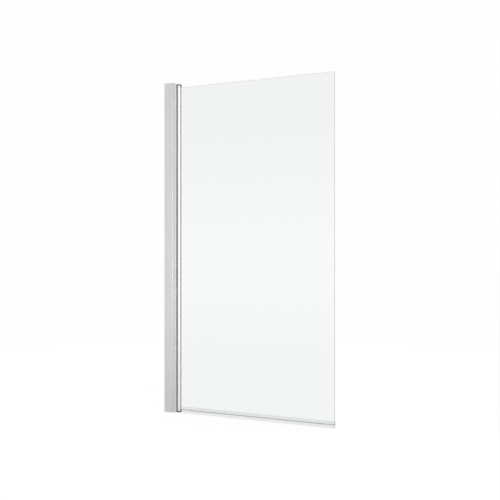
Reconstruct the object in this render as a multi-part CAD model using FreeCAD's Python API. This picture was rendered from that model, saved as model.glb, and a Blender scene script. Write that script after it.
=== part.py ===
import FreeCAD, Part
import math
import os

from FreeCAD import Vector

# A single-panel bath screen. A wall channel is screwed to the wall and stands on the bath's rim.
# A hinge post slides in the channel, to take up a wall that is out of true, and is clamped there.
# The glass leaf turns on two pins, in brackets at the post's top and bottom, and sweeps the rim
# with a clear seal.
#
# Millimetres. X runs from the wall along the closed screen, Y through its thickness and Z up.
# The origin is on the wall face, in the middle of the channel's width, at the level of the rim.

# ---------------------------------------------------------------- driving sizes: the whole screen
screen_height = 1400.0      # rim to the top of the wall channel's cap
screen_reach = 800.0        # wall to the glass's free edge
glass_thickness = 6.0
glass_above_rim = 14.4      # the seal's fins fill this
glass_below_top = 21.0
glass_corner = 3.0
glass_arris = 0.7           # the ground bevel round both faces

# ---------------------------------------------------------------- driving sizes: wall channel
channel_depth = 42.0
channel_width = 30.0
channel_web = 2.0
channel_wall = 1.8
channel_corner = 2.0
guide_rib_height = 1.2      # the ribs that the post's legs slide against
clamp_rib_width = 9.0
mouth_rib_width = 4.0
sealant_groove_width = 5.0
sealant_groove_depth = 0.5
sealant_groove_offset = 9.0
fixing_hole_radius = 2.75
fixing_end_distance = 100.0
fixing_count = 4
channel_cap_plate = 2.5
channel_cap_edge = 0.8
channel_cap_fit = 0.1
cap_skirt_wall = 1.6
cap_skirt_depth = 3.5

# ---------------------------------------------------------------- driving sizes: adjustment
adjust_in = 12.0
adjust_out = 3.0
stop_gap = 0.5              # left behind the post when it is pushed right in
slide_gap = 0.25
clamp_end_distance = 250.0
clamp_screw_radius = 2.0
clamp_screw_length = 9.0
clamp_head_radius = 4.2
clamp_head_height = 2.4
clamp_hole_gap = 0.25
clamp_nut_side = 7.0
clamp_nut_thickness = 3.2
nut_room = 1.75
nut_gap = 0.05
cover_wall = 1.2
cover_gap = 0.2
cover_headroom = 0.5

# ---------------------------------------------------------------- driving sizes: hinge post
post_wall = 1.6
post_corner = 1.5
post_box_depth = 17.4
post_lip = 1.2
bracket_port_radius = 1.6
bracket_port_ring = 1.6
port_bite = 0.2             # how far a port's ring runs into the wall that carries it
seal_slot_width = 2.0
seal_chamber_width = 4.4
seal_chamber_depth = 1.8
seal_slot_lip = 1.2
seal_boss_wall = 1.2
seal_fit = 0.1
seal_flange_thickness = 0.8
seal_flange_inset = 0.3
seal_lip_wall = 0.8
seal_lip_height = 2.1
seal_lip_lean = 0.9
seal_bulb_radius = 2.4
seal_bulb_bore = 0.9
seal_to_barrel = 0.3

# ---------------------------------------------------------------- driving sizes: pivots
rim_gap = 0.5               # keeps the lower bracket off the rim
top_gap = 2.8               # between the channel's cap and the upper bracket
bracket_plate = 3.0
bracket_overlap = 4.0
bracket_arm_radius = 7.0
bracket_plug_depth = 14.0
bracket_fit = 0.2
plug_lead = 0.6
pin_radius = 2.5
pin_fit = 0.02
pin_end_gap = 0.7
bush_wall = 0.95
bush_running_gap = 0.05
thrust_washer_radius = 6.0
thrust_washer_thickness = 0.6
running_gap = 0.1
head_gap = 0.1
bracket_screw_radius = 1.55
bracket_screw_head_radius = 3.0
bracket_screw_head_height = 1.8
bracket_screw_length = 18.0
screw_hole_gap = 0.3

# ---------------------------------------------------------------- driving sizes: leaf rail
barrel_radius = 9.0
rail_nose = 5.4             # pivot axis to the rail's front end
rail_corner = 1.8
rail_skin = 1.6
rail_front_wall = 0.8       # least metal between the rail's hollows and its front
pocket_floor_wall = 1.8     # metal between the glass pocket's floor and the barrel's back
pocket_wall = 1.4
gasket_wall = 1.5
gasket_bead_depth = 1.2
gasket_bead_cover = 1.6     # how far the bead laps over the pocket's mouth
rail_cap_plate = 4.0
rail_cap_fit = 0.1
rail_cap_tongue = 6.0
spigot_gap = 0.3            # between the caps' spigots and the glass

# ---------------------------------------------------------------- driving sizes: bottom seal
seal_leg_height = 12.2
seal_leg_wall = 1.2
seal_leg_gap = 0.1
seal_leg_flare = 0.5
seal_web = 2.2
seal_start_gap = 0.3
fin_start_gap = 2.0         # keeps the fins off the lower bracket's arm
fin_rim_gap = 0.3
fin_spread = 6.6
fin_root = 1.3
fin_tip = 0.7
fin_bow = 0.7

# ---------------------------------------------------------------- places that follow from the sizes
half_channel = channel_width / 2
channel_bore = half_channel - channel_wall
channel_mouth = channel_bore - guide_rib_height
channel_top = screen_height - channel_cap_plate

half_post = channel_mouth - slide_gap
leg_inside = half_post - post_wall
post_back = channel_web + stop_gap + adjust_in
clamp_x = post_back + adjust_out + nut_room + clamp_nut_side / 2
clamp_slot_radius = clamp_screw_radius + clamp_hole_gap
box_back = clamp_x + adjust_in + clamp_nut_side / 2 + nut_room
post_front = box_back + post_box_depth

lower_plate_top = rim_gap + bracket_plate
upper_plate_top = channel_top - top_gap
upper_plate_bottom = upper_plate_top - bracket_plate

seal_boss_back = post_front - seal_slot_lip - seal_chamber_depth - seal_boss_wall
bracket_port_outside = bracket_port_radius + bracket_port_ring
bracket_port_x = (box_back + post_wall + seal_boss_back) / 2
bracket_port_y = leg_inside - bracket_port_outside + port_bite
plug_half_width = bracket_port_y - bracket_port_outside - bracket_fit

pivot_x = post_front + seal_bulb_radius + seal_to_barrel + barrel_radius
rail_front = pivot_x + rail_nose
pocket_back = pivot_x - barrel_radius + pocket_floor_wall
half_pocket = glass_thickness / 2 + gasket_wall
glass_back = pocket_back + gasket_wall
glass_bottom = glass_above_rim
glass_top = screen_height - glass_below_top
bead_front = rail_front + gasket_bead_depth
bead_half_width = half_pocket + gasket_bead_cover

rail_cap_bottom = lower_plate_top + thrust_washer_thickness + running_gap
rail_bottom = rail_cap_bottom + rail_cap_plate
rail_cap_top = upper_plate_bottom - thrust_washer_thickness - running_gap
rail_top = rail_cap_top - rail_cap_plate
lower_spigot_end = glass_bottom - spigot_gap
upper_spigot_end = glass_top + spigot_gap
bush_radius = pin_radius + bush_running_gap + bush_wall

fixing_pitch = (screen_height - 2 * fixing_end_distance) / (fixing_count - 1)
levels_of_fixings = [fixing_end_distance + n * fixing_pitch for n in range(fixing_count)]
levels_of_clamps = [clamp_end_distance, screen_height / 2, screen_height - clamp_end_distance]
both_sides = (-1, 1)


# ---------------------------------------------------------------- outlines, drawn flat in the XY plane
def face_of(edges):
    return Part.Face(Part.Wire(edges))


def polygon(corners):
    """A flat face that looks up, whichever way round its corners are given."""
    face = Part.Face(Part.makePolygon(corners + corners[:1]))
    return face if face.normalAt(0, 0).z > 0 else face.reversed()


def rectangle(x0, x1, y0, y1):
    return polygon([Vector(x0, y0), Vector(x1, y0), Vector(x1, y1), Vector(x0, y1)])


def band(x0, x1, half_width):
    return rectangle(x0, x1, -half_width, half_width)


def disc(x, y, radius):
    return face_of([Part.makeCircle(radius, Vector(x, y))])


def rounded_front(x0, x1, half_width, radius):
    """A band whose two corners at x1 are rounded."""
    slant = radius * math.sqrt(0.5)
    lower, upper = Vector(x1 - radius, radius - half_width), Vector(x1 - radius, half_width - radius)
    back_lower, back_upper = Vector(x0, -half_width), Vector(x0, half_width)
    edges = [
        Part.makeLine(back_upper, back_lower),
        Part.makeLine(back_lower, lower + Vector(0, -radius)),
        Part.Arc(lower + Vector(0, -radius), lower + Vector(slant, -slant), lower + Vector(radius, 0)).toShape(),
        Part.makeLine(lower + Vector(radius, 0), upper + Vector(radius, 0)),
        Part.Arc(upper + Vector(radius, 0), upper + Vector(slant, slant), upper + Vector(0, radius)).toShape(),
        Part.makeLine(upper + Vector(0, radius), back_upper),
    ]
    return face_of(edges)


def joined(*sections):
    faces = [face for section in sections for face in section.Faces]
    return faces[0].multiFuse(faces[1:]).removeSplitter()


def raised(section, z0, z1):
    """An extrusion of that section from level z0 to z1."""
    flat = section.copy()
    flat.translate(Vector(0, 0, z0))
    return flat.extrude(Vector(0, 0, z1 - z0))


def upside_down(shape, level):
    """The shape turned over about a level, so that an upper piece is made from the lower one's drawing."""
    return shape.mirror(Vector(0, 0, level), Vector(0, 0, 1))


# ---------------------------------------------------------------- turned pieces and screws
def turned(points, place, axis):
    """Turns an outline of (radius, height) points about an axis through that place."""
    corners = [Vector(r, 0, h) for r, h in points]
    solid = Part.Face(Part.makePolygon(corners + corners[:1])).revolve(Vector(), Vector(0, 0, 1), 360)
    return placed(solid, place, axis)


def placed(solid, place, axis):
    """The solid, drawn about the Z axis at the origin, moved to the place and turned to the axis."""
    solid = solid.copy()
    solid.Placement = FreeCAD.Placement(place, FreeCAD.Rotation(Vector(0, 0, 1), axis)) * solid.Placement
    return solid


def headed_pin(radius, head_radius, head_height, length):
    """A turned piece: a shank up the Z axis with a flat cylindrical head at its foot."""
    outline = [(0, 0), (head_radius, 0), (head_radius, head_height), (radius, head_height),
               (radius, length), (0, length)]
    return turned(outline, Vector(), Vector(0, 0, 1))


# ---------------------------------------------------------------- wall channel and its cap
def wall_channel():
    """A deep U. Its ribs guide the post, and stiffen its mouth and the places where the clamps pull."""
    section = rounded_front(0, channel_depth, half_channel, channel_corner)
    bore = band(channel_web, channel_depth - mouth_rib_width, channel_bore)
    rib_start, rib_end = clamp_x - clamp_rib_width / 2, clamp_x + clamp_rib_width / 2
    section = section.cut(joined(bore, band(channel_web, channel_depth + 1, channel_mouth)))
    for side in both_sides:
        inner, outer = sorted((side * channel_mouth, side * (channel_bore + channel_wall / 2)))
        section = joined(section, rectangle(rib_start, rib_end, inner, outer))
        groove_middle = side * sealant_groove_offset
        section = section.cut(rectangle(0, sealant_groove_depth, groove_middle - sealant_groove_width / 2,
                                        groove_middle + sealant_groove_width / 2))
    channel = raised(section, 0, channel_top)
    for level in levels_of_fixings:
        hole = Part.makeCylinder(fixing_hole_radius, 3 * channel_web, Vector(-channel_web, 0, level),
                                 Vector(1, 0, 0))
        channel = channel.cut(hole)
    for level in levels_of_clamps:
        hole = Part.makeCylinder(clamp_screw_radius + clamp_hole_gap, half_channel,
                                 Vector(clamp_x, channel_mouth / 2, level), Vector(0, 1, 0))
        channel = channel.cut(hole)
    return channel


def wall_channel_cap():
    """A moulding pushed into the channel's top, held by a skirt that grips the web and both sides."""
    plate = raised(rounded_front(0, channel_depth, half_channel, channel_corner), channel_top, screen_height)
    top_edges = [e for e in plate.Edges if e.BoundBox.ZMin > screen_height - 0.01 and e.BoundBox.XMax > 0.01]
    plate = plate.makeChamfer(min(channel_cap_edge, channel_corner * 0.9), top_edges)
    skirt_start, skirt_end = channel_web + channel_cap_fit, clamp_x - clamp_rib_width / 2 - channel_cap_fit
    skirt_half_width = channel_bore - channel_cap_fit
    skirt = band(skirt_start, skirt_end, skirt_half_width).cut(
        band(skirt_start + cap_skirt_wall, skirt_end + 1, skirt_half_width - cap_skirt_wall))
    return plate.fuse(raised(skirt, channel_top - cap_skirt_depth, channel_top)).removeSplitter()


# ---------------------------------------------------------------- clamps that hold the adjustment
def at_each_clamp(piece):
    """Copies of a piece that was turned about Z, set on the channel's inner side and pointing in at the post."""
    return Part.makeCompound([
        placed(piece, Vector(clamp_x, half_channel, level), Vector(0, -1, 0)) for level in levels_of_clamps
    ])


def clamp_screws():
    """They pull the nuts, and the post's leg with them, against the channel."""
    screw = headed_pin(clamp_screw_radius, clamp_head_radius, clamp_head_height,
                       clamp_head_height + clamp_screw_length)
    return at_each_clamp(screw.translated(Vector(0, 0, -clamp_head_height)))


def clamp_nuts():
    seat = half_channel - leg_inside + nut_gap
    nut = Part.makeBox(clamp_nut_side, clamp_nut_side, clamp_nut_thickness,
                       Vector(-clamp_nut_side / 2, -clamp_nut_side / 2, seat))
    nut = nut.makeChamfer(0.12 * clamp_nut_side, [e for e in nut.Edges if e.BoundBox.ZLength > 0.5])
    thread = Part.makeCylinder(clamp_screw_radius + pin_fit, 2 * clamp_nut_thickness,
                               Vector(0, 0, seat - clamp_nut_thickness / 2))
    return at_each_clamp(nut.cut(thread))


def screw_covers():
    inside = clamp_head_radius + cover_gap
    outside = inside + cover_wall
    ceiling = -(clamp_head_height + cover_headroom)
    crown = ceiling - cover_wall
    outline = [(inside, 0), (inside, ceiling), (0, ceiling), (0, crown), (outside - cover_wall, crown),
               (outside, crown + cover_wall), (outside, 0)]
    return at_each_clamp(turned(outline, Vector(), Vector(0, 0, 1)))


# ---------------------------------------------------------------- hinge post
def hinge_post():
    """A closed box at the front, for the brackets and the bulb seal, and two legs that reach into the channel."""
    section = rounded_front(post_back, post_front, half_post, post_corner)
    section = section.cut(band(post_back - 1, box_back, leg_inside))
    section = section.cut(band(box_back + post_wall, post_front - post_wall, leg_inside))
    section = joined(section, band(seal_boss_back, post_front - post_wall / 2,
                                   seal_chamber_width / 2 + seal_boss_wall))
    slot_bottom = post_front - seal_slot_lip
    section = section.cut(band(slot_bottom - 1e-3, post_front + 1, seal_slot_width / 2))
    section = section.cut(band(slot_bottom - seal_chamber_depth, slot_bottom, seal_chamber_width / 2))
    for side in both_sides:
        middle = side * bracket_port_y
        section = joined(section, disc(bracket_port_x, middle, bracket_port_outside))
        section = section.cut(disc(bracket_port_x, middle, bracket_port_radius))
        inner, outer = sorted((side * (leg_inside - post_lip), side * leg_inside))
        section = joined(section, rectangle(post_back, post_back + post_lip, inner, outer))
    post = raised(section, lower_plate_top, upper_plate_bottom)
    for level in levels_of_clamps:
        post = post.cut(clamp_slot(level))
    return post


def clamp_slot(level):
    """A clamp's screw keeps still while the post slides, so the slot is as long as the adjustment."""
    start, end = clamp_x - adjust_out, clamp_x + adjust_in
    across = Vector(0, 1, 0)
    inside = Vector(start, leg_inside - post_wall, level)
    straight = Part.makeBox(end - start, 3 * post_wall, 2 * clamp_slot_radius,
                            inside - Vector(0, 0, clamp_slot_radius))
    near = Part.makeCylinder(clamp_slot_radius, 3 * post_wall, inside, across)
    far = Part.makeCylinder(clamp_slot_radius, 3 * post_wall, inside + Vector(end - start, 0, 0), across)
    return straight.multiFuse([near, far])


def hinge_seal():
    """A soft strip whose foot is trapped in the post's groove. Its flange covers the post's front face, two
    lips close the gap from outside, and its hollow bulb rubs on the rail's barrel."""
    slot_bottom = post_front - seal_slot_lip
    foot = band(slot_bottom - seal_chamber_depth + seal_fit, slot_bottom - seal_fit,
                seal_chamber_width / 2 - seal_fit)
    neck = band(slot_bottom - 2 * seal_fit, post_front + seal_fit, seal_slot_width / 2 - seal_fit)
    flange_edge = half_post - post_corner - seal_flange_inset
    flange_top = post_front + seal_flange_thickness
    flange = band(post_front, flange_top, flange_edge)
    bulb = disc(post_front, 0, seal_bulb_radius).common(
        band(post_front, post_front + 2 * seal_bulb_radius, seal_bulb_radius))
    lips = []
    for side in both_sides:
        root = flange_edge - seal_lip_wall
        tip = root - seal_lip_lean
        lips.append(polygon([
            Vector(flange_top - seal_fit, side * root),
            Vector(flange_top - seal_fit, side * (root - seal_lip_wall)),
            Vector(post_front + seal_lip_height, side * (tip - seal_lip_wall / 2)),
            Vector(post_front + seal_lip_height, side * tip),
        ]))
    section = joined(foot, neck, flange, bulb, *lips)
    section = section.cut(disc(post_front + seal_bulb_radius / 2, 0, seal_bulb_bore))
    return raised(section, lower_plate_top, upper_plate_bottom)


# ---------------------------------------------------------------- pivots
def lower_bracket():
    """A casting: a plate under the post, a plug up its box and an arm that carries the pin."""
    plate_back = box_back - bracket_overlap
    outline = joined(
        rounded_front(plate_back, post_front, half_post, post_corner),
        band(post_front - post_corner, pivot_x, bracket_arm_radius),
        disc(pivot_x, 0, bracket_arm_radius),
    )
    plate = raised(outline, rim_gap, lower_plate_top)
    plug = raised(band(box_back + post_wall + bracket_fit, seal_boss_back - bracket_fit, plug_half_width),
                  lower_plate_top, lower_plate_top + bracket_plug_depth)
    top = [e for e in plug.Edges if e.BoundBox.ZMin > lower_plate_top + bracket_plug_depth - 0.01]
    plug = plug.makeChamfer(plug_lead, top)
    bracket = plate.fuse(plug).removeSplitter()
    for place in places_of_bracket_screws():
        hole = headed_pin(bracket_screw_radius + screw_hole_gap, bracket_screw_head_radius + head_gap,
                          bracket_screw_head_height, 2 * bracket_plate)
        hole.translate(place)
        bracket = bracket.cut(hole)
    return bracket.cut(Part.makeCylinder(pin_radius + pin_fit, 2 * bracket_plate, Vector(pivot_x, 0, 0)))


def places_of_bracket_screws():
    return [Vector(bracket_port_x, side * bracket_port_y, rim_gap) for side in both_sides]


def lower_bracket_screws():
    screw = headed_pin(bracket_screw_radius, bracket_screw_head_radius, bracket_screw_head_height,
                       bracket_screw_length)
    return Part.makeCompound([screw.translated(place) for place in places_of_bracket_screws()])


def pivot_pin(end):
    """A dowel pressed into the bracket, flush with its outer face. It reaches up to that level."""
    return Part.makeCylinder(pin_radius, end - rim_gap, Vector(pivot_x, 0, rim_gap))


def thrust_washer():
    inside = pin_radius + bush_running_gap
    outline = [(inside, 0), (thrust_washer_radius, 0), (thrust_washer_radius, thrust_washer_thickness),
               (inside, thrust_washer_thickness)]
    return turned(outline, Vector(pivot_x, 0, lower_plate_top), Vector(0, 0, 1))


def bush(end):
    """A sleeve in the rail's cap, from the cap's outer face up to that level."""
    inside, length = pin_radius + bush_running_gap, end - rail_cap_bottom
    outline = [(inside, 0), (bush_radius, 0), (bush_radius, length), (inside, length)]
    return turned(outline, Vector(pivot_x, 0, rail_cap_bottom), Vector(0, 0, 1))


# ---------------------------------------------------------------- leaf rail and its caps
def rail_outline():
    """Round at the back, where it turns against the bulb seal, and flat-sided towards the glass."""
    barrel = disc(pivot_x, 0, barrel_radius).common(band(pivot_x - barrel_radius, pivot_x, barrel_radius))
    return joined(barrel, rounded_front(pivot_x, rail_front, barrel_radius, rail_corner))


def rail_chambers():
    """The two hollows between the rail's skin and the walls of the glass pocket."""
    inside_skin = joined(
        disc(pivot_x, 0, barrel_radius - rail_skin),
        band(pivot_x, rail_front - rail_skin, barrel_radius - rail_skin),
    )
    chamber_start, wall_outside = half_pocket + pocket_wall, barrel_radius
    chambers = []
    for side in both_sides:
        low, high = sorted((side * chamber_start, side * wall_outside))
        between_walls = rectangle(pocket_back, rail_front - rail_front_wall, low, high)
        chambers.append(between_walls.common(inside_skin).Faces[0])
    return chambers


def leaf_rail():
    section = rail_outline().cut(band(pocket_back, rail_front + 1, half_pocket))
    for chamber in rail_chambers():
        section = section.cut(chamber)
    return raised(section, rail_bottom, rail_top)


def rail_cap(spigot_end):
    """The lower cap: a plate of the rail's outline, a spigot up the glass pocket and two thin tongues."""
    plate = raised(rail_outline(), rail_cap_bottom, rail_bottom)
    spigot = raised(band(pocket_back + rail_cap_fit, rail_front - rail_cap_fit, half_pocket - rail_cap_fit),
                    rail_bottom, spigot_end)
    tongues = [raised(chamber.makeOffset2D(-rail_cap_fit), rail_bottom, rail_bottom + rail_cap_tongue)
               for chamber in rail_chambers()]
    cap = plate.multiFuse([spigot] + tongues).removeSplitter()
    seat = Part.makeCylinder(bush_radius + pin_fit, spigot_end - rail_cap_bottom,
                             Vector(pivot_x, 0, rail_cap_bottom))
    return cap.cut(seat)


# ---------------------------------------------------------------- glass, gasket and bottom seal
def glass_panel():
    outline = [Vector(glass_back, 0, glass_bottom), Vector(screen_reach, 0, glass_bottom),
               Vector(screen_reach, 0, glass_top), Vector(glass_back, 0, glass_top)]
    face = Part.Face(Part.makePolygon(outline + outline[:1]))
    face.translate(Vector(0, -glass_thickness / 2, 0))
    panel = face.extrude(Vector(0, glass_thickness, 0))
    corners = [e for e in panel.Edges if e.BoundBox.YLength > glass_thickness / 2
               and e.BoundBox.XMin > screen_reach - 0.01]
    panel = panel.makeFillet(glass_corner, corners)
    arris = [e for e in panel.Edges if e.BoundBox.YLength < 0.01]
    return panel.makeChamfer(glass_arris, arris)


def glazing_gasket():
    """A soft channel round the glass's edge, with a bead that covers the mouth of the rail's pocket."""
    bead = rounded_front(rail_front, bead_front, bead_half_width, 0.8 * gasket_bead_depth)
    section = joined(band(pocket_back, rail_front, half_pocket), bead)
    section = section.cut(band(glass_back, bead_front + 1, glass_thickness / 2))
    return raised(section, glass_bottom, glass_top)


def seal_fin(side, x0, x1):
    """One bowed fin, hung from a corner of the seal's web and reaching down to the rim."""
    outer = glass_thickness / 2 + seal_leg_gap + seal_leg_wall
    root_level, tip_level = glass_bottom - seal_web / 2, fin_rim_gap
    root_out = Vector(x0, side * outer, root_level)
    root_in = Vector(x0, side * (outer - fin_root), root_level)
    tip_out = Vector(x0, side * fin_spread, tip_level)
    tip_in = Vector(x0, side * (fin_spread - fin_tip), tip_level)
    bow = Vector(0, -side * fin_bow, 0)
    edges = [
        Part.Arc(root_out, (root_out + tip_out) / 2 + bow, tip_out).toShape(),
        Part.makeLine(tip_out, tip_in),
        Part.Arc(tip_in, (root_in + tip_in) / 2 + bow, root_in).toShape(),
        Part.makeLine(root_in, root_out),
    ]
    return face_of(edges).extrude(Vector(x1 - x0, 0, 0))


def bottom_seal():
    """Clear strip pushed up over the glass's lower edge: two legs, a web and two fins that sweep the rim."""
    start, end = bead_front + seal_start_gap, screen_reach
    inner = glass_thickness / 2 + seal_leg_gap
    outer = inner + seal_leg_wall
    web_bottom, leg_top = glass_bottom - seal_web, glass_bottom + seal_leg_height
    channel = Part.makeBox(end - start, 2 * outer, leg_top - web_bottom, Vector(start, -outer, web_bottom))
    slot = Part.makeBox(end - start, 2 * inner, leg_top, Vector(start, -inner, glass_bottom))
    channel = channel.cut(slot)
    for side in both_sides:
        flare = [Vector(start, side * (inner + seal_leg_flare), leg_top),
                 Vector(start, side * inner, leg_top),
                 Vector(start, side * inner, leg_top - 2 * seal_leg_flare)]
        channel = channel.cut(Part.Face(Part.makePolygon(flare + flare[:1])).extrude(Vector(end - start, 0, 0)))
    fins = [seal_fin(side, start + fin_start_gap, end) for side in both_sides]
    return channel.multiFuse(fins).removeSplitter()


# ---------------------------------------------------------------- every piece, by the name of its node
def upper(shape):
    """An upper pivot piece: the lower one turned over about the middle of the post."""
    return upside_down(shape, (rim_gap + upper_plate_top) / 2)


def turned_over_level(level):
    return rim_gap + upper_plate_top - level


def pieces():
    upper_spigot_drawn = turned_over_level(upper_spigot_end)
    return {
        "wall_channel": wall_channel(),
        "wall_channel_cap": wall_channel_cap(),
        "clamp_screws": clamp_screws(),
        "clamp_nuts": clamp_nuts(),
        "screw_covers": screw_covers(),
        "hinge_post": hinge_post(),
        "hinge_seal": hinge_seal(),
        "lower_bracket": lower_bracket(),
        "lower_bracket_screws": lower_bracket_screws(),
        "lower_pivot_pin": pivot_pin(lower_spigot_end - pin_end_gap),
        "lower_thrust_washer": thrust_washer(),
        "upper_bracket": upper(lower_bracket()),
        "upper_bracket_screws": upper(lower_bracket_screws()),
        "upper_pivot_pin": upper(pivot_pin(upper_spigot_drawn - pin_end_gap)),
        "upper_thrust_washer": upper(thrust_washer()),
        "leaf_rail": leaf_rail(),
        "lower_rail_cap": rail_cap(lower_spigot_end),
        "lower_bush": bush(lower_spigot_end),
        "upper_rail_cap": upper(rail_cap(upper_spigot_drawn)),
        "upper_bush": upper(bush(upper_spigot_drawn)),
        "glass_panel": glass_panel(),
        "glazing_gasket": glazing_gasket(),
        "bottom_seal": bottom_seal(),
    }


os.makedirs("parts", exist_ok=True)
for name, shape in pieces().items():
    shape.exportStep(os.path.join("parts", name + ".step"))
    solids = len(shape.Solids)
    print(f"{name:22s} {solids} solid{'s' if solids > 1 else ' '} {shape.Volume / 1000:10.2f} cm3"
          f" valid {shape.isValid()}")
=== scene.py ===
# %% [markdown]
# # A bath screen, dressed for its picture
#
# A bath screen is one pane of toughened glass on a hinge. A silver wall channel is screwed to the
# tiles, a hinge post slides in it, and the leaf turns on two short pins at the post's top and
# bottom.
#
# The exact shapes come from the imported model, which is loaded here as a fixed frame. This script
# adds what the eye reads: anodised metal, moulded plastic, soft seals and clear glass, the studio
# and the camera.

# %% Load the frame
import math

import bmesh
import bpy
from mathutils import Matrix, Vector


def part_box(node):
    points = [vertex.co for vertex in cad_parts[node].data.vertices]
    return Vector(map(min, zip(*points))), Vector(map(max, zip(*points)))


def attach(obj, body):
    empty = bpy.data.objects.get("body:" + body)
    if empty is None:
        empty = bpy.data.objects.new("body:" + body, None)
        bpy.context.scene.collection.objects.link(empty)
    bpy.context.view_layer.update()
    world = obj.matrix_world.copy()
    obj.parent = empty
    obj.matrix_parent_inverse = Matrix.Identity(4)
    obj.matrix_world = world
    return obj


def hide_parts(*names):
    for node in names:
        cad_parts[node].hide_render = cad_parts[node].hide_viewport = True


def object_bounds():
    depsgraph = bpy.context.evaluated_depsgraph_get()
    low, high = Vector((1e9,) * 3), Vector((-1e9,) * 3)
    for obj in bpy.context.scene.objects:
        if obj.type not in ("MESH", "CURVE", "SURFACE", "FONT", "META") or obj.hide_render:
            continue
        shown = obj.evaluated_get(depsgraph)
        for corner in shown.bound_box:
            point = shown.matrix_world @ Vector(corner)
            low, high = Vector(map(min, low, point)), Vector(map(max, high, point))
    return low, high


MM = 0.001
MICRON = 0.000001

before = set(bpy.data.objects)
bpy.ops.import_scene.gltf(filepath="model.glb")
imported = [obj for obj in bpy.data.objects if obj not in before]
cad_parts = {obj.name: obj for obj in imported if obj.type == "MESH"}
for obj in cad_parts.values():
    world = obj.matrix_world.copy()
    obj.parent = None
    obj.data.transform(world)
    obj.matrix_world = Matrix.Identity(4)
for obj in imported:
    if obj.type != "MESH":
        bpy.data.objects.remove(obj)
cad_bounds = [list(corner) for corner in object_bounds()]
print("CAD box in mm:", [[round(1000 * value, 1) for value in corner] for corner in cad_bounds])

# %% [markdown]
# ## The camera
#
# The product picture looks at the screen from about 30 degrees round its free side, level, from a
# little over four metres away. A long lens is why the glass's top and bottom edges converge only
# slightly. A camera could be tilted and its picture straightened, but a level camera keeps the
# uprights upright by itself. So it is level here, and a small shift of the lens puts the horizon
# where the picture has it.

# %% Place the camera
PICTURE_WIDTH = 500                 # pixels, as are the next two
FOCAL_PIXELS = 984.06
VIEW_HORIZON = 253.1                # from the top
VIEW_AZIMUTH = math.radians(31.191)
CAMERA_PLACE = Vector((2.4876, -3.4189, 0.6769))

camera_data = bpy.data.cameras.new("product_camera")
camera_data.sensor_width = 36.0
camera_data.lens = camera_data.sensor_width * FOCAL_PIXELS / PICTURE_WIDTH
camera_data.shift_y = (VIEW_HORIZON - PICTURE_WIDTH / 2) / PICTURE_WIDTH
camera = bpy.data.objects.new("product_camera", camera_data)
camera.location = CAMERA_PLACE
camera.rotation_euler = (math.radians(90), 0, VIEW_AZIMUTH)
bpy.context.collection.objects.link(camera)
bpy.context.scene.camera = camera
print("lens", round(camera_data.lens, 1), "mm, from", round(CAMERA_PLACE.length, 2), "m away")

# %% [markdown]
# ## Shader trees in code
#
# Every material, and the white studio too, is a tree of shader nodes. It could be wired up by
# hand in the node editor. In code, a node with its settings and its links fits on one line, given
# four helpers: they add a node, fill one socket, do arithmetic and choose between two values.

# %% Add a node, do arithmetic, choose
def add(tree, kind, **values):
    """A node with its sockets and settings filled in. A value that is a socket is linked."""
    node = tree.nodes.new(kind)
    for name, value in values.items():
        target = node.inputs.get(name.replace("_", " ")) if not hasattr(node, name) else None
        if target is None:
            setattr(node, name, value)
        elif isinstance(value, bpy.types.NodeSocket):
            tree.links.new(value, target)
        else:
            target.default_value = value
    return node


def fill(tree, socket, value):
    """Links a socket to the value if that is a socket too, and otherwise sets it."""
    if isinstance(value, bpy.types.NodeSocket):
        tree.links.new(value, socket)
    else:
        socket.default_value = value


def arithmetic(tree, operation, *terms):
    """One Math node. Each term is a number or a socket."""
    node = add(tree, "ShaderNodeMath", operation=operation)
    for socket, term in zip(node.inputs, terms):
        fill(tree, socket, term)
    return node.outputs[0]


def choose(tree, factor, when_zero, when_one):
    """A number between two: the first where the factor is 0, the second where it is 1."""
    node = add(tree, "ShaderNodeMix", data_type="FLOAT")
    for name, term in (("Factor", factor), ("A", when_zero), ("B", when_one)):
        fill(tree, node.inputs[name], term)
    return node.outputs[0]


# %% [markdown]
# ## The white studio
#
# The picture is a cut-out on white. Metal and clear things are only as good as what they reflect,
# so the white has to be there for reflections too and not just behind the object. Light Path
# tells the camera, glossy and transmission rays from the diffuse ones. The first three see the
# white studio, and diffuse surfaces get a gentler, even light, with soft lamps on top of it.
#
# A real white studio is brightest at eye level and falls off a little above it. That fall is what
# gives the long silver channel its slow change of tone, and the clear glass its faint grey
# towards the top. It could be a picture of a studio wrapped round the scene. Here it is one line
# of arithmetic on the ray's height.

# %% Tell the rays apart
def ray_kinds(tree):
    """Three 0 or 1 sockets: a ray straight from the camera, one that came by a mirror-like
    surface or through glass, and one that came by a mirror-like surface alone."""
    path = add(tree, "ShaderNodeLightPath")
    glossy_ray, through_glass = path.outputs["Is Glossy Ray"], path.outputs["Is Transmission Ray"]
    either = arithmetic(tree, "MAXIMUM", glossy_ray, through_glass)
    mirrored = arithmetic(tree, "SUBTRACT", either, through_glass)
    return path.outputs["Is Camera Ray"], either, mirrored


# %% Build the white studio
PAPER_WHITE = 0.99
AMBIENT = 0.78              # what diffuse surfaces get
STUDIO_FALL = 0.41          # strength lost from the horizon straight up
STUDIO_LEAST = 0.93         # where that fall stops

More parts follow.
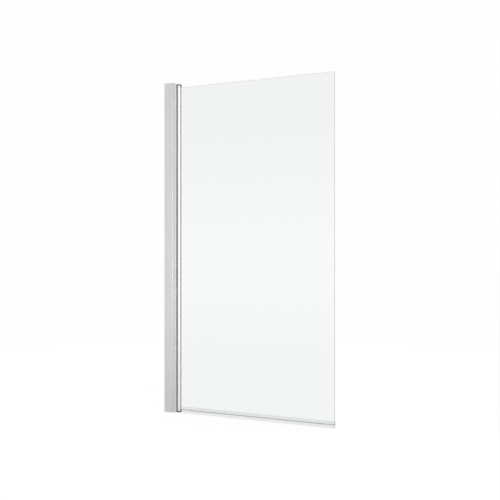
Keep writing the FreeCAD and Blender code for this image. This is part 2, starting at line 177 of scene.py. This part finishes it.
scene = bpy.context.scene
scene.view_settings.view_transform = "Standard"
world = bpy.data.worlds.new("white_studio")
scene.world = world
world.use_nodes = True
sky = world.node_tree
sky.nodes.clear()
camera_ray, mirrored_or_through, _ = ray_kinds(sky)
direction = add(sky, "ShaderNodeTexCoord")
height = add(sky, "ShaderNodeSeparateXYZ")
sky.links.new(direction.outputs["Generated"], height.inputs[0])
fall = arithmetic(sky, "MULTIPLY", arithmetic(sky, "ABSOLUTE", height.outputs["Z"]), -STUDIO_FALL)
backdrop = arithmetic(sky, "MAXIMUM", arithmetic(sky, "ADD", fall, PAPER_WHITE), STUDIO_LEAST)
strength = choose(sky, camera_ray, choose(sky, mirrored_or_through, AMBIENT, backdrop), PAPER_WHITE)
white = add(sky, "ShaderNodeBackground", Color=(1, 1, 1, 1), Strength=strength)
surface = add(sky, "ShaderNodeOutputWorld")
sky.links.new(white.outputs[0], surface.inputs["Surface"])
print("studio:", len(sky.nodes), "nodes")

# %% [markdown]
# ## The lamps
#
# Four wide lamps shape the diffuse pieces. The key lamp is in front and the rim lamp behind. The
# ceiling lamp is above, where it can shine in through the glass's ground top edge. The strip lamp
# stands off the free edge and draws a highlight along the metal's corners.
#
# A lamp's outline would show in metal and glass as a bright patch. A studio can only soften it,
# with a larger lamp. Here each lamp is told which kinds of ray can see it, so it shows only where
# it should.

# %% Hang the lamps
def soft_lamp(name, place, aim, size, power, reflected=False, through_edges=False):
    """A lamp with a wide front. Only the strip lamp shows in reflections, as a highlight along
    edges, and only the ceiling lamp shines in through the glass's ground top edge."""
    data = bpy.data.lights.new(name, "AREA")
    data.shape = "RECTANGLE"
    data.size, data.size_y = size
    data.energy = power
    lamp = bpy.data.objects.new(name, data)
    lamp.visible_camera = False
    lamp.visible_transmission = through_edges
    lamp.visible_glossy = reflected
    lamp.location = place
    lamp.rotation_euler = (Vector(aim) - Vector(place)).to_track_quat("-Z", "Y").to_euler()
    bpy.context.collection.objects.link(lamp)
    return lamp


soft_lamp("key_lamp", (2.6, -2.2, 3.0), (0.3, 0, 0.7), (1.6, 1.6), 20)
soft_lamp("rim_lamp", (-1.6, 2.4, 2.4), (0.3, 0, 0.8), (1.8, 1.8), 10)
strip_lamp = soft_lamp("strip_lamp", (3.4, -1.9, 0.75), (0.04, 0, 0.7), (0.9, 2.6), 34,
                       reflected=True)
soft_lamp("ceiling_lamp", (0.45, 0.1, 2.7), (0.45, 0, 0), (1.4, 0.7), 4, through_edges=True)

# %% [markdown]
# ## The floor
#
# The floor is a matt white board, big enough for its far edge to be lost in the white. A diffuse
# board alone would grey off with distance, so most of what the camera sees of it is a plain white
# glow, and the rest is the diffuse board, which keeps a soft shadow under the screen. In
# reflections and through the glass the board's glow carries painted shade: it is a little greyer
# close to the screen, where the lamps would reach a real board least.

# %% Paint the board
BOARD_SHARE = 0.10                  # how much of the diffuse board the camera sees
BOARD_GLOW = 1.02
BOARD_TONE = 0.9
# Painted shade: seen in metal and through glass, the glow is greyer near the screen.
PAINTED_SHADE_FROM = -1.5                    # metres. Below 0, so the grey has begun to clear at 0
# The glow's painted shade close to the screen, and the distance in metres from which it is white.
NEAR_IN_METAL, WHITE_IN_METAL = 0.78, 5.0
NEAR_THROUGH_GLASS, WHITE_THROUGH_GLASS = 0.955, 16.0

board = bpy.data.materials.new("white_board")
board.use_nodes = True
tree = board.node_tree
tree.nodes.clear()
camera_ray, mirrored_or_through, mirrored = ray_kinds(tree)
place = add(tree, "ShaderNodeTexCoord")
away = add(tree, "ShaderNodeVectorMath", operation="LENGTH")
tree.links.new(place.outputs["Object"], away.inputs[0])
far = add(tree, "ShaderNodeMapRange", interpolation_type="SMOOTHERSTEP")
tree.links.new(away.outputs["Value"], far.inputs["Value"])
far.inputs["From Min"].default_value = PAINTED_SHADE_FROM
tree.links.new(choose(tree, mirrored, WHITE_THROUGH_GLASS, WHITE_IN_METAL), far.inputs["From Max"])
near = choose(tree, mirrored, NEAR_THROUGH_GLASS, NEAR_IN_METAL)
# Painted shade near the screen, fading to plain white with distance.
glow_with_painted_shade = choose(tree, far.outputs["Result"], near, PAPER_WHITE)
glow = add(tree, "ShaderNodeEmission", Color=(1, 1, 1, 1),
           Strength=choose(tree, camera_ray, glow_with_painted_shade, BOARD_GLOW))
matt = add(tree, "ShaderNodeBsdfDiffuse", Color=(BOARD_TONE, BOARD_TONE, BOARD_TONE, 1))
share = choose(tree, camera_ray, mirrored_or_through, 1 - BOARD_SHARE)
mixed = add(tree, "ShaderNodeMixShader")
tree.links.new(share, mixed.inputs[0])
tree.links.new(matt.outputs[0], mixed.inputs[1])
tree.links.new(glow.outputs[0], mixed.inputs[2])
out = add(tree, "ShaderNodeOutputMaterial")
tree.links.new(mixed.outputs[0], out.inputs["Surface"])
print(board.name, "is white from", WHITE_THROUGH_GLASS, "m on, seen through the glass")

# %% Lay the floor
FLOOR_DROP = 1.5 * MM
FLOOR_HALF = 30.0

floor_mesh = bpy.data.meshes.new("floor_board")
shape = bmesh.new()
corners = [(-1, -1), (1, -1), (1, 1), (-1, 1)]
shape.faces.new([shape.verts.new((x * FLOOR_HALF, y * FLOOR_HALF, 0)) for x, y in corners])
shape.to_mesh(floor_mesh)
shape.free()
floor = bpy.data.objects.new("floor_board", floor_mesh)
floor.location.z = cad_bounds[0][2] - FLOOR_DROP
floor_mesh.materials.append(board)
bpy.context.collection.objects.link(floor)
print("floor at", round(1000 * floor.location.z, 2), "mm")

# %% [markdown]
# ## Finishes
#
# Every finish is built from the same few steps: a position on the piece, a texture stretched to
# the scale of the real marks, and a small change of roughness, colour or bump. The position is
# the object's own, in metres, so the marks stay put when the leaf swings.

# %% Start a finish, and put it on
def finish(name, **principled):
    """A new Principled material. Returns the material, its tree and the shader."""
    material = bpy.data.materials.new(name)
    material.use_nodes = True
    tree = material.node_tree
    tree.nodes.clear()
    shader = add(tree, "ShaderNodeBsdfPrincipled")
    for socket, value in principled.items():
        shader.inputs[socket.replace("_", " ")].default_value = value
    out = add(tree, "ShaderNodeOutputMaterial")
    tree.links.new(shader.outputs[0], out.inputs["Surface"])
    return material, tree, shader


def fill_with(tree, colour, density):
    """Makes the inside of a piece absorb all but that colour from the light on its way."""
    out = next(node for node in tree.nodes if node.type == "OUTPUT_MATERIAL")
    absorption = add(tree, "ShaderNodeVolumeAbsorption", Color=colour, Density=density)
    tree.links.new(absorption.outputs[0], out.inputs["Volume"])


def dress(material, *nodes):
    for name in nodes:
        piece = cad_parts[name]
        piece.data.materials.clear()
        piece.data.materials.append(material)
        print(f"{name}: {material.name}")


# %% Marks, and what they change
def marks(tree, scale, detail):
    """Noise at a scale for each axis, in marks per metre. A low number stretches the marks."""
    place = add(tree, "ShaderNodeTexCoord")
    stretch = add(tree, "ShaderNodeMapping")
    tree.links.new(place.outputs["Object"], stretch.inputs["Vector"])
    stretch.inputs["Scale"].default_value = scale
    noise = add(tree, "ShaderNodeTexNoise", Scale=1.0, Detail=detail)
    tree.links.new(stretch.outputs["Vector"], noise.inputs["Vector"])
    return noise.outputs["Fac"]


def spread(tree, value, low, high, start=0.3, end=0.7):
    """Maps start to low and end to high. Nearly all of a texture lies between 0.3 and 0.7."""
    node = add(tree, "ShaderNodeMapRange")
    tree.links.new(value, node.inputs["Value"])
    ends = (("From Min", start), ("From Max", end), ("To Min", low), ("To Max", high))
    for socket, number in ends:
        fill(tree, node.inputs[socket], number)
    return node.outputs["Result"]


def tones(tree, value, dark, light):
    """A colour between two. Each is three numbers or a colour socket."""
    ramp = add(tree, "ShaderNodeMix", data_type="RGBA")
    tree.links.new(value, ramp.inputs["Factor"])
    for socket, colour in ((ramp.inputs["A"], dark), (ramp.inputs["B"], light)):
        fill(tree, socket, colour if isinstance(colour, bpy.types.NodeSocket) else (*colour, 1))
    return ramp.outputs["Result"]


def grey(level):
    return (level, level, level)


# %% Relief, and the way a surface faces
def relief(tree, shader, height, depth):
    """Bump of that depth, in metres."""
    bump = add(tree, "ShaderNodeBump", Strength=1.0, Distance=depth)
    tree.links.new(height, bump.inputs["Height"])
    tree.links.new(bump.outputs["Normal"], shader.inputs["Normal"])


def facing(tree, axis, start, end):
    """0 to 1 as the surface turns to face along an axis of the object, either way."""
    place = add(tree, "ShaderNodeTexCoord")
    split = add(tree, "ShaderNodeSeparateXYZ")
    tree.links.new(place.outputs["Normal"], split.inputs[0])
    return spread(tree, arithmetic(tree, "ABSOLUTE", split.outputs[axis]), 0, 1, start, end)


# %% [markdown]
# ## Satin anodised aluminium
#
# The channel and the post are extrusions: the metal is pushed through a die, which leaves
# hair-fine lines along its whole length, and anodising turns it an even silver. A brushed texture
# could do it, but the lines have to run up the piece without a break, so the noise is stretched
# hundreds of times along Z.
#
# The ends are sawn after anodising, so they show bare, brighter metal with the saw's fine strokes
# across it. A face that looks up or down is an end, so the surface's own direction tells the two
# finishes apart.

# %% Satin anodised aluminium
DIE_LINES = 1500, 1500, 0.6         # marks per metre along X, Y and Z, like all such scales here
SAW_STROKES = 260, 4200, 1
TONE_CLOUDS = 9, 9, 5
SAWN_TONES = grey(0.66), grey(0.86)
SAWN_ROUGHNESS = 0.30, 0.48
SAWN_FACES = 0.7, 0.9               # how squarely a face looks up or down, from plain to sawn


def extruded_alloy(name, dark, light, smooth, rough, line_depth, anisotropy, metallic=1.0):
    material, tree, shader = finish(name, Metallic=metallic, Anisotropic=anisotropy)
    die_lines = marks(tree, DIE_LINES, detail=4)
    clouds = marks(tree, TONE_CLOUDS, detail=2)
    saw_strokes = marks(tree, SAW_STROKES, detail=3)
    sawn = facing(tree, "Z", *SAWN_FACES)
    anodised = tones(tree, spread(tree, clouds, 0, 1), dark, light)
    bare = tones(tree, spread(tree, saw_strokes, 0, 1), *SAWN_TONES)
    tree.links.new(tones(tree, sawn, anodised, bare), shader.inputs["Base Color"])
    along = spread(tree, die_lines, smooth, rough)
    across = spread(tree, saw_strokes, *SAWN_ROUGHNESS)
    tree.links.new(choose(tree, sawn, along, across), shader.inputs["Roughness"])
    relief(tree, shader, choose(tree, sawn, die_lines, saw_strokes), line_depth)
    return material


satin = extruded_alloy("satin_anodised", grey(0.68), grey(0.73), smooth=0.25, rough=0.36,
                       line_depth=4 * MICRON, anisotropy=0.3)
dress(satin, "wall_channel", "hinge_post")

# %% [markdown]
# ## Bright alloy
#
# The leaf's rail is polished before it is anodised, so it has a finer, shinier skin than the satin
# post. It is the same extruded metal. That it reads almost white is painted highlight: a near-white
# base colour, partly not metal, stands in for a lamp's reflection.

# %% Bright alloy
# Painted highlight: the near-white base colour, a third of it not metal, makes the rail read white.
polish_and_painted_highlight = extruded_alloy("bright_alloy", (0.955, 0.955, 0.945), (0.985, 0.985, 0.98),
                        smooth=0.10, rough=0.17, line_depth=1.5 * MICRON, anisotropy=0.0,
                        metallic=0.7)
dress(polish_and_painted_highlight, "leaf_rail")

# %% [markdown]
# ## Mouldings
#
# The end caps and screw covers are moulded in a fine spark-eroded grain, which is what keeps them
# from shining like toys. The rail's caps are the same grain in black.

# %% Mouldings
SPARK_GRAIN, FLOW_CLOUDS = (2600, 2600, 2600), (60, 60, 60)
GRAIN_DEPTH = 30 * MICRON
GRAIN_ROUGHNESS = 0.06              # to either side


def moulding(name, dark, light, rough):
    material, tree, shader = finish(name, Metallic=0.0)
    grain = marks(tree, SPARK_GRAIN, detail=2)
    clouds = marks(tree, FLOW_CLOUDS, detail=2)
    colour = tones(tree, spread(tree, clouds, 0, 1), dark, light)
    tree.links.new(colour, shader.inputs["Base Color"])
    tree.links.new(spread(tree, grain, rough - GRAIN_ROUGHNESS, rough + GRAIN_ROUGHNESS),
                   shader.inputs["Roughness"])
    relief(tree, shader, grain, GRAIN_DEPTH)
    return material


grey_plastic = moulding("grey_moulding", grey(0.60), grey(0.66), rough=0.42)
black_plastic = moulding("black_moulding", grey(0.012), grey(0.022), rough=0.45)
dress(grey_plastic, "wall_channel_cap")
dress(black_plastic, "lower_rail_cap", "upper_rail_cap")

# %% [markdown]
# ## Powder coat
#
# The brackets are small castings with a silver powder coat. The powder melts into a skin with a
# slight orange peel, and the metal flakes in it glint a little.

# %% Powder coat
PEEL, FLAKES = (900, 900, 900), (4000, 4000, 4000)
FLAKE_TONES = (0.66, 0.67, 0.66), (0.78, 0.79, 0.78)
PEEL_ROUGHNESS = 0.34, 0.46

coat, tree, shader = finish("silver_powder_coat", Metallic=0.75, Coat_Weight=0.25,
                            Coat_Roughness=0.3)
peel = marks(tree, PEEL, detail=2)
flakes = marks(tree, FLAKES, detail=1)
colour = tones(tree, spread(tree, flakes, 0, 1), *FLAKE_TONES)
tree.links.new(colour, shader.inputs["Base Color"])
tree.links.new(spread(tree, peel, *PEEL_ROUGHNESS), shader.inputs["Roughness"])
relief(tree, shader, peel, 40 * MICRON)
dress(coat, "lower_bracket", "upper_bracket")

# %% [markdown]
# ## Turned steel
#
# The pins, nuts and screws are stainless steel, turned on a lathe. So their marks are rings round
# their own axes, which are upright in the pins and the bracket screws, and crossways in the
# clamps.

# %% Turned steel
RING_MARKS, OTHER_MARKS = 5000, 60
STEEL_TONES = (0.52, 0.52, 0.50), (0.64, 0.64, 0.62)
RING_ROUGHNESS = 0.18, 0.32


def turned_steel(name, ring_scale):
    """The scale is high along the axis that the piece was turned on."""
    material, tree, shader = finish(name, Metallic=1.0)
    rings = marks(tree, ring_scale, detail=2)
    colour = tones(tree, spread(tree, rings, 0, 1), *STEEL_TONES)
    tree.links.new(colour, shader.inputs["Base Color"])
    tree.links.new(spread(tree, rings, *RING_ROUGHNESS), shader.inputs["Roughness"])
    relief(tree, shader, rings, 6 * MICRON)
    return material


steel = turned_steel("upright_stainless", (OTHER_MARKS, OTHER_MARKS, RING_MARKS))
crossways_steel = turned_steel("crossways_stainless", (OTHER_MARKS, RING_MARKS, OTHER_MARKS))
dress(steel, "lower_pivot_pin", "upper_pivot_pin")
dress(crossways_steel, "clamp_nuts")

# %% [markdown]
# ## Cross-head screws
#
# Two screws hold each bracket to the post, and their heads show in the bracket's outer face.
# Three more pull the clamps tight under their covers. A plain disc would have the right size, but
# what tells a screw from a rivet is the cross in its head and the thread on its shank.
#
# A boolean could cut the cross, and a screw modifier could wind the thread. Here both are drawn
# point by point, which keeps each screw one clean closed skin. The crown is a flat ring filled in
# round the cross. The thread is a stack of rings whose distance from the axis rises and falls
# once per pitch, a little further round each time.

# %% Rings, outlines and walls
SCREW_SIDES = 24


def ring_of(shape, radius, z, sides=SCREW_SIDES):
    """A circle of points round Z. Its radius and level are numbers, or functions of the share
    of a turn."""
    reach = radius if callable(radius) else lambda turn: radius
    level = z if callable(z) else lambda turn: z
    points = []
    for turn in (side / sides for side in range(sides)):
        x, y = reach(turn) * math.cos(math.tau * turn), reach(turn) * math.sin(math.tau * turn)
        points.append(shape.verts.new((x, y, level(turn))))
    return points


def cross_of(shape, span, width, z):
    """A cross with four equal arms. For each arm: its end's two corners, and the corner beside
    its foot."""
    arm = [Vector((x / 2, y / 2)) for x, y in ((span, -width), (span, width), (width, width))]
    corners = []
    for quarter in range(4):
        ahead = Matrix.Rotation(quarter * math.pi / 2, 2)
        corners += [ahead @ corner for corner in arm]
    return [shape.verts.new((*corner, z)) for corner in corners]


def bridge(shape, low, high):
    """A wall of faces between two loops with as many points each."""
    for here in range(len(low)):
        after = (here + 1) % len(low)
        shape.faces.new((low[here], low[after], high[after], high[here]))


def new_piece(name, shape, material):
    """Turns a finished bmesh into an object in the scene."""
    bmesh.ops.recalc_face_normals(shape, faces=shape.faces)
    mesh = bpy.data.meshes.new(name)
    shape.to_mesh(mesh)
    print(f"{name}: {len(shape.faces)} faces")
    shape.free()
    mesh.materials.append(material)
    piece = bpy.data.objects.new(name, mesh)
    bpy.context.collection.objects.link(piece)
    return piece


# %% One screw
HEAD_EDGE = 0.3 * MM
CROSS_SPAN, CROSS_WIDTH = 1.25, 0.34        # shares of the head's radius
CROSS_DEPTH = 0.62                          # a share of its height
CROSS_TAPER = 0.55                          # the cross's size at its floor, as a share
THREAD_STEPS = 6                            # rings for each pitch
THREAD_DEPTH = 0.25 * MM
TIP_LENGTH, TIP_TAPER = 1.6 * MM, 0.5 * MM


def cross_head_screw(shape, place, head_radius, head_height, radius, length, pitch):
    """Its crown is at the origin of place, and its shank points along Z there."""
    before = set(shape.verts)
    crown = ring_of(shape, head_radius - HEAD_EDGE, 0)
    rim = ring_of(shape, head_radius, HEAD_EDGE)
    seat = ring_of(shape, head_radius, head_height)
    mouth = cross_of(shape, CROSS_SPAN * head_radius, CROSS_WIDTH * head_radius, 0)
    floor_size = CROSS_TAPER * head_radius
    cross_floor = cross_of(shape, CROSS_SPAN * floor_size, CROSS_WIDTH * floor_size,
                           CROSS_DEPTH * head_height)
    edges = [shape.edges.new(pair) for loop in (crown, mouth)
             for pair in zip(loop, loop[1:] + loop[:1])]
    bmesh.ops.triangle_fill(shape, edges=edges, use_beauty=True)
    bridge(shape, mouth, cross_floor)
    shape.faces.new(cross_floor)
    bridge(shape, crown, rim)
    bridge(shape, rim, seat)
    thread(shape, seat, head_height, radius, length, pitch)
    bmesh.ops.transform(shape, matrix=place, verts=[v for v in shape.verts if v not in before])


def thread(shape, seat, start, radius, length, pitch):
    """A threaded shank from the head's seat to the tip."""
    last = seat
    steps = round(THREAD_STEPS * (length - start) / pitch)
    for step in range(steps + 1):
        z = start + (length - start) * step / steps
        root = radius - THREAD_DEPTH - TIP_TAPER * max(0, 1 - (length - z) / TIP_LENGTH)

        def ridge(turn):
            return root + THREAD_DEPTH * (1 - abs(2 * ((z / pitch - turn) % 1) - 1))

        turned = ring_of(shape, ridge, z)
        bridge(shape, last, turned)
        last = turned
    shape.faces.new(last)


def screw_set(node, body, material, places, *sizes):
    """One object for all the screws of a CAD node. Each place is a crown, and which way its
    shank goes."""
    shape = bmesh.new()
    for crown, along in places:
        turn = Vector(along).to_track_quat("Z", "X").to_matrix().to_4x4()
        cross_head_screw(shape, Matrix.Translation(crown) @ turn, *sizes)
    screws = new_piece(node + "_threaded", shape, material)
    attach(screws, body)
    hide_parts(node)


# %% [markdown]
# ### Where the screws go
#
# Each set takes its place and its length from the CAD node that it stands for: the crowns are at
# the outer face of that node's box, one head's radius in from its sides.

# %% The bracket screws
BRACKET_HEAD_HEIGHT, BRACKET_SCREW_RADIUS, BRACKET_PITCH = 1.8 * MM, 1.55 * MM, 1.0 * MM

for node, up in (("lower_bracket_screws", 1), ("upper_bracket_screws", -1)):
    low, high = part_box(node)
    head_radius = (high.x - low.x) / 2
    middle = (low.x + high.x) / 2
    outer_face = low.z if up > 0 else high.z
    crowns = [Vector((middle, y, outer_face)) for y in (low.y + head_radius, high.y - head_radius)]
    screw_set(node, "post", steel, [(crown, (0, 0, up)) for crown in crowns],
              head_radius, BRACKET_HEAD_HEIGHT, BRACKET_SCREW_RADIUS, high.z - low.z, BRACKET_PITCH)

# %% The clamp screws
CLAMP_HEAD_HEIGHT, CLAMP_SCREW_RADIUS, CLAMP_PITCH = 2.4 * MM, 2.0 * MM, 0.7 * MM


def round_pieces_up_the_channel(node):
    """For a node of three equal round pieces that face along Y: their radius, their X and
    their levels."""
    low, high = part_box(node)
    radius = (high.x - low.x) / 2
    return radius, (low.x + high.x) / 2, (low.z + radius, (low.z + high.z) / 2, high.z - radius)


head_radius, clamp_x, levels = round_pieces_up_the_channel("clamp_screws")
low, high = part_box("clamp_screws")
screw_set("clamp_screws", "wall_side", crossways_steel,
          [(Vector((clamp_x, high.y, level)), (0, -1, 0)) for level in levels],
          head_radius, CLAMP_HEAD_HEIGHT, CLAMP_SCREW_RADIUS, high.y - low.y, CLAMP_PITCH)

# %% [markdown]
# ## Snap covers
#
# Each clamp's head is hidden by a small moulded cap that snaps over it. Such a cap has a rounded
# shoulder, a crown that is dished a little so that it doesn't sink in the mould, and a notch at
# its foot for a fingernail. The CAD cap has the size. This one is turned from an outline with
# those details, hollow like the real one. The notch is the foot's ring, lifted over a short
# stretch.

# %% One cover
COVER_SIDES = 48
COVER_WALL = 1.2 * MM
SHOULDER, SHOULDER_STEPS = 1.0 * MM, 5
DISH_RIM, DISH_DEPTH = 0.62, 0.18 * MM          # a share of the radius, and a depth
NOTCH_SHARE, NOTCH_HEIGHT = 0.07, 0.8 * MM      # a share of a turn to either side, and a height


def snap_cover(shape, place, radius, height):
    """A hollow cap round Z whose foot is at the origin of place. Its notch is towards X there."""
    before = set(shape.verts)

    def foot(turn):
        return NOTCH_HEIGHT * max(0, 1 - min(turn, 1 - turn) / NOTCH_SHARE) ** 0.5

    angles = [math.pi / 2 * step / SHOULDER_STEPS for step in range(SHOULDER_STEPS + 1)]
    shoulder = [(radius - SHOULDER * (1 - math.cos(a)), height - SHOULDER * (1 - math.sin(a)))
                for a in angles]
    inner, dish = radius - COVER_WALL, DISH_RIM * radius
    outline = [(inner, height - COVER_WALL), (inner, foot), (radius, foot), *shoulder,
               (dish, height), (dish - DISH_DEPTH, height - DISH_DEPTH)]
    rings = [ring_of(shape, reach, level, COVER_SIDES) for reach, level in outline]
    for low, high in zip(rings, rings[1:]):
        bridge(shape, low, high)
    shape.faces.new(rings[0])
    shape.faces.new(rings[-1])
    bmesh.ops.transform(shape, matrix=place, verts=[v for v in shape.verts if v not in before])


# %% Snap the covers on
# Turns Z to Y, and X to straight down.
NOTCH_DOWN = Matrix(((0, -1, 0), (0, 0, 1), (-1, 0, 0))).to_4x4()

cover_radius, cover_x, levels = round_pieces_up_the_channel("screw_covers")
low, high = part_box("screw_covers")
shape = bmesh.new()
for level in levels:
    foot_place = Matrix.Translation((cover_x, low.y, level)) @ NOTCH_DOWN
    snap_cover(shape, foot_place, cover_radius, high.y - low.y)
covers = new_piece("snap_covers", shape, grey_plastic)
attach(covers, "wall_side")
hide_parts("screw_covers")

# %% [markdown]
# ## Nylon
#
# Bushes and thrust washers are natural nylon: off-white, slightly waxy, and a little light passes
# into them.

# %% Nylon
NYLON_CLOUDS = 300, 300, 300
NYLON_TONES = (0.78, 0.76, 0.68), (0.84, 0.82, 0.75)

nylon, tree, shader = finish("natural_nylon", Roughness=0.45, Subsurface_Weight=0.3,
                             Subsurface_Scale=2 * MM)
clouds = marks(tree, NYLON_CLOUDS, detail=2)
colour = tones(tree, spread(tree, clouds, 0, 1), *NYLON_TONES)
tree.links.new(colour, shader.inputs["Base Color"])
relief(tree, shader, clouds, 20 * MICRON)
dress(nylon, "lower_bush", "upper_bush", "lower_thrust_washer", "upper_thrust_washer")

# %% [markdown]
# ## Soft seals
#
# The hinge seal is a grey flexible strip, pushed up its groove in one length. Like the alloy it
# is extruded, so it has faint lines along its length, but it is matt. The gasket that holds the
# glass is the same stuff, nearly white.

# %% Soft seals
STRIP_LINES = 1800, 1800, 1.2
STRIP_ROUGHNESS = 0.55, 0.72


def soft_strip(name, dark, light):
    material, tree, shader = finish(name, Sheen_Weight=0.15, Sheen_Roughness=0.5)
    lines = marks(tree, STRIP_LINES, detail=3)
    colour = tones(tree, spread(tree, lines, 0, 1), dark, light)
    tree.links.new(colour, shader.inputs["Base Color"])
    tree.links.new(spread(tree, lines, *STRIP_ROUGHNESS), shader.inputs["Roughness"])
    relief(tree, shader, lines, 20 * MICRON)
    return material


dress(soft_strip("grey_hinge_seal", (0.295, 0.315, 0.305), (0.355, 0.375, 0.365)), "hinge_seal")
dress(soft_strip("pale_gasket", (0.82, 0.84, 0.83), (0.88, 0.90, 0.89)), "glazing_gasket")

# %% [markdown]
# ## The glass
#
# Toughened float glass is clear from the front and green along its edge, because iron in the
# glass takes a little red from light on its long way through. That is exactly what volume
# absorption does, so the green isn't painted on: the shader stays clear and the body of the glass
# absorbs.
#
# The edges are cut, ground with a diamond wheel and given a narrow bevel, the arris. A ground
# edge is not perfectly clear: it scatters light and looks pale from outside. Faces that don't
# look along Y are edges, so they alone get the grinding marks and the haze.
#
# Toughened glass is also never quite flat. Rollers in the furnace leave a ripple of a few
# hundredths of a millimetre, which only a long reflection shows.

# %% The glass
IRON_GREEN, IRON_DENSITY = (0.40, 0.62, 0.54, 1), 16.0
GRINDING_MARKS, RIPPLE_WAVES = (900, 900, 900), (2.5, 1, 9)
RIPPLE_DEPTH = 20 * MICRON
GROUND_TONES = (0.92, 0.95, 0.94), (0.97, 0.985, 0.98)
GROUND_ROUGHNESS = 0.30, 0.50
GROUND_CLEARNESS = 0.48             # how much of the light goes through instead of scattering
PANE_FACES = 0.80, 0.97             # how squarely a face looks along Y, from edge to pane

glass, tree, shader = finish("clear_float_glass", Transmission_Weight=1.0, IOR=1.52)
fill_with(tree, IRON_GREEN, IRON_DENSITY)
flat = facing(tree, "Y", *PANE_FACES)
grinding = marks(tree, GRINDING_MARKS, detail=3)
ground_tone = tones(tree, spread(tree, grinding, 0, 1), *GROUND_TONES)
tree.links.new(tones(tree, flat, ground_tone, (1, 1, 1)), shader.inputs["Base Color"])
ground_roughness = spread(tree, grinding, *GROUND_ROUGHNESS)
tree.links.new(choose(tree, flat, ground_roughness, 0.0), shader.inputs["Roughness"])
tree.links.new(choose(tree, flat, GROUND_CLEARNESS, 1.0), shader.inputs["Transmission Weight"])
ripple = marks(tree, RIPPLE_WAVES, detail=0)
relief(tree, shader, ripple, RIPPLE_DEPTH)
dress(glass, "glass_panel")

# %% [markdown]
# ## The clear seal
#
# The seal under the glass is flexible plastic in one long extrusion. It is softer and hazier than
# glass, and its grey is absorption again, so the thick places find themselves. Its colour also
# carries painted shade: a dark band in the web that the glass stands on, and fins a little darker
# than the clear legs. They could be three materials on picked faces. Here one material tells them
# apart by their height, so the shades blend into each other.

# %% The clear seal
SMOKE_GREY, SMOKE_DENSITY = (0.30, 0.32, 0.31, 1), 48.0
WEB_MIDDLE, FINS_BELOW = 1.1 * MM, 3.0 * MM             # both below the glass
PAINTED_SHADE_WITHIN, CLEAR_BEYOND = 0.9 * MM, 1.6 * MM         # from the web's middle
# Painted shade: the web's and the fins' darker base colours stand in for shade under the glass.
LEG_TONE, FIN_PAINTED_SHADE, WEB_PAINTED_SHADE = (0.975, 0.98, 0.975), (0.95, 0.955, 0.95), (0.66, 0.67, 0.66)
DRAW_LINES = 1.2, 1500, 1500
DRAW_ROUGHNESS = 0.06, 0.16

vinyl, tree, shader = finish("clear_flexible_plastic", Transmission_Weight=1.0, IOR=1.50)
fill_with(tree, SMOKE_GREY, SMOKE_DENSITY)
web_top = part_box("glass_panel")[0][2]
place = add(tree, "ShaderNodeTexCoord")
level = add(tree, "ShaderNodeSeparateXYZ")
tree.links.new(place.outputs["Object"], level.inputs[0])
above_web = arithmetic(tree, "SUBTRACT", level.outputs["Z"], web_top - WEB_MIDDLE)
from_web = arithmetic(tree, "ABSOLUTE", above_web)
clear_part = spread(tree, from_web, 0, 1, PAINTED_SHADE_WITHIN, CLEAR_BEYOND)
above_fins = spread(tree, level.outputs["Z"], 0, 1, web_top - FINS_BELOW, web_top)
legs_and_fins = tones(tree, above_fins, FIN_PAINTED_SHADE, LEG_TONE)
tree.links.new(tones(tree, clear_part, WEB_PAINTED_SHADE, legs_and_fins), shader.inputs["Base Color"])
draw_lines = marks(tree, DRAW_LINES, detail=2)
tree.links.new(spread(tree, draw_lines, *DRAW_ROUGHNESS), shader.inputs["Roughness"])
relief(tree, shader, draw_lines, 20 * MICRON)
dress(vinyl, "bottom_seal")

# %% [markdown]
# ## A flag for the strip lamp
#
# Flat glass mirrors a lamp with a hard outline, and from some sides that would look like a white
# patch cut out of the pane. A photographer hangs a black flag between the lamp and the glass, and
# moves it for each view. Light linking does it for all of them: the lamp is told which pieces it
# leaves out.

# %% Keep the strip lamp off the clear pieces
flagged = bpy.data.collections.new("flagged_from_strip_lamp")
for name in ("glass_panel", "bottom_seal"):
    flagged.objects.link(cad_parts[name])
for piece in flagged.collection_objects:
    piece.light_linking.link_state = "EXCLUDE"
strip_lamp.light_linking.receiver_collection = flagged
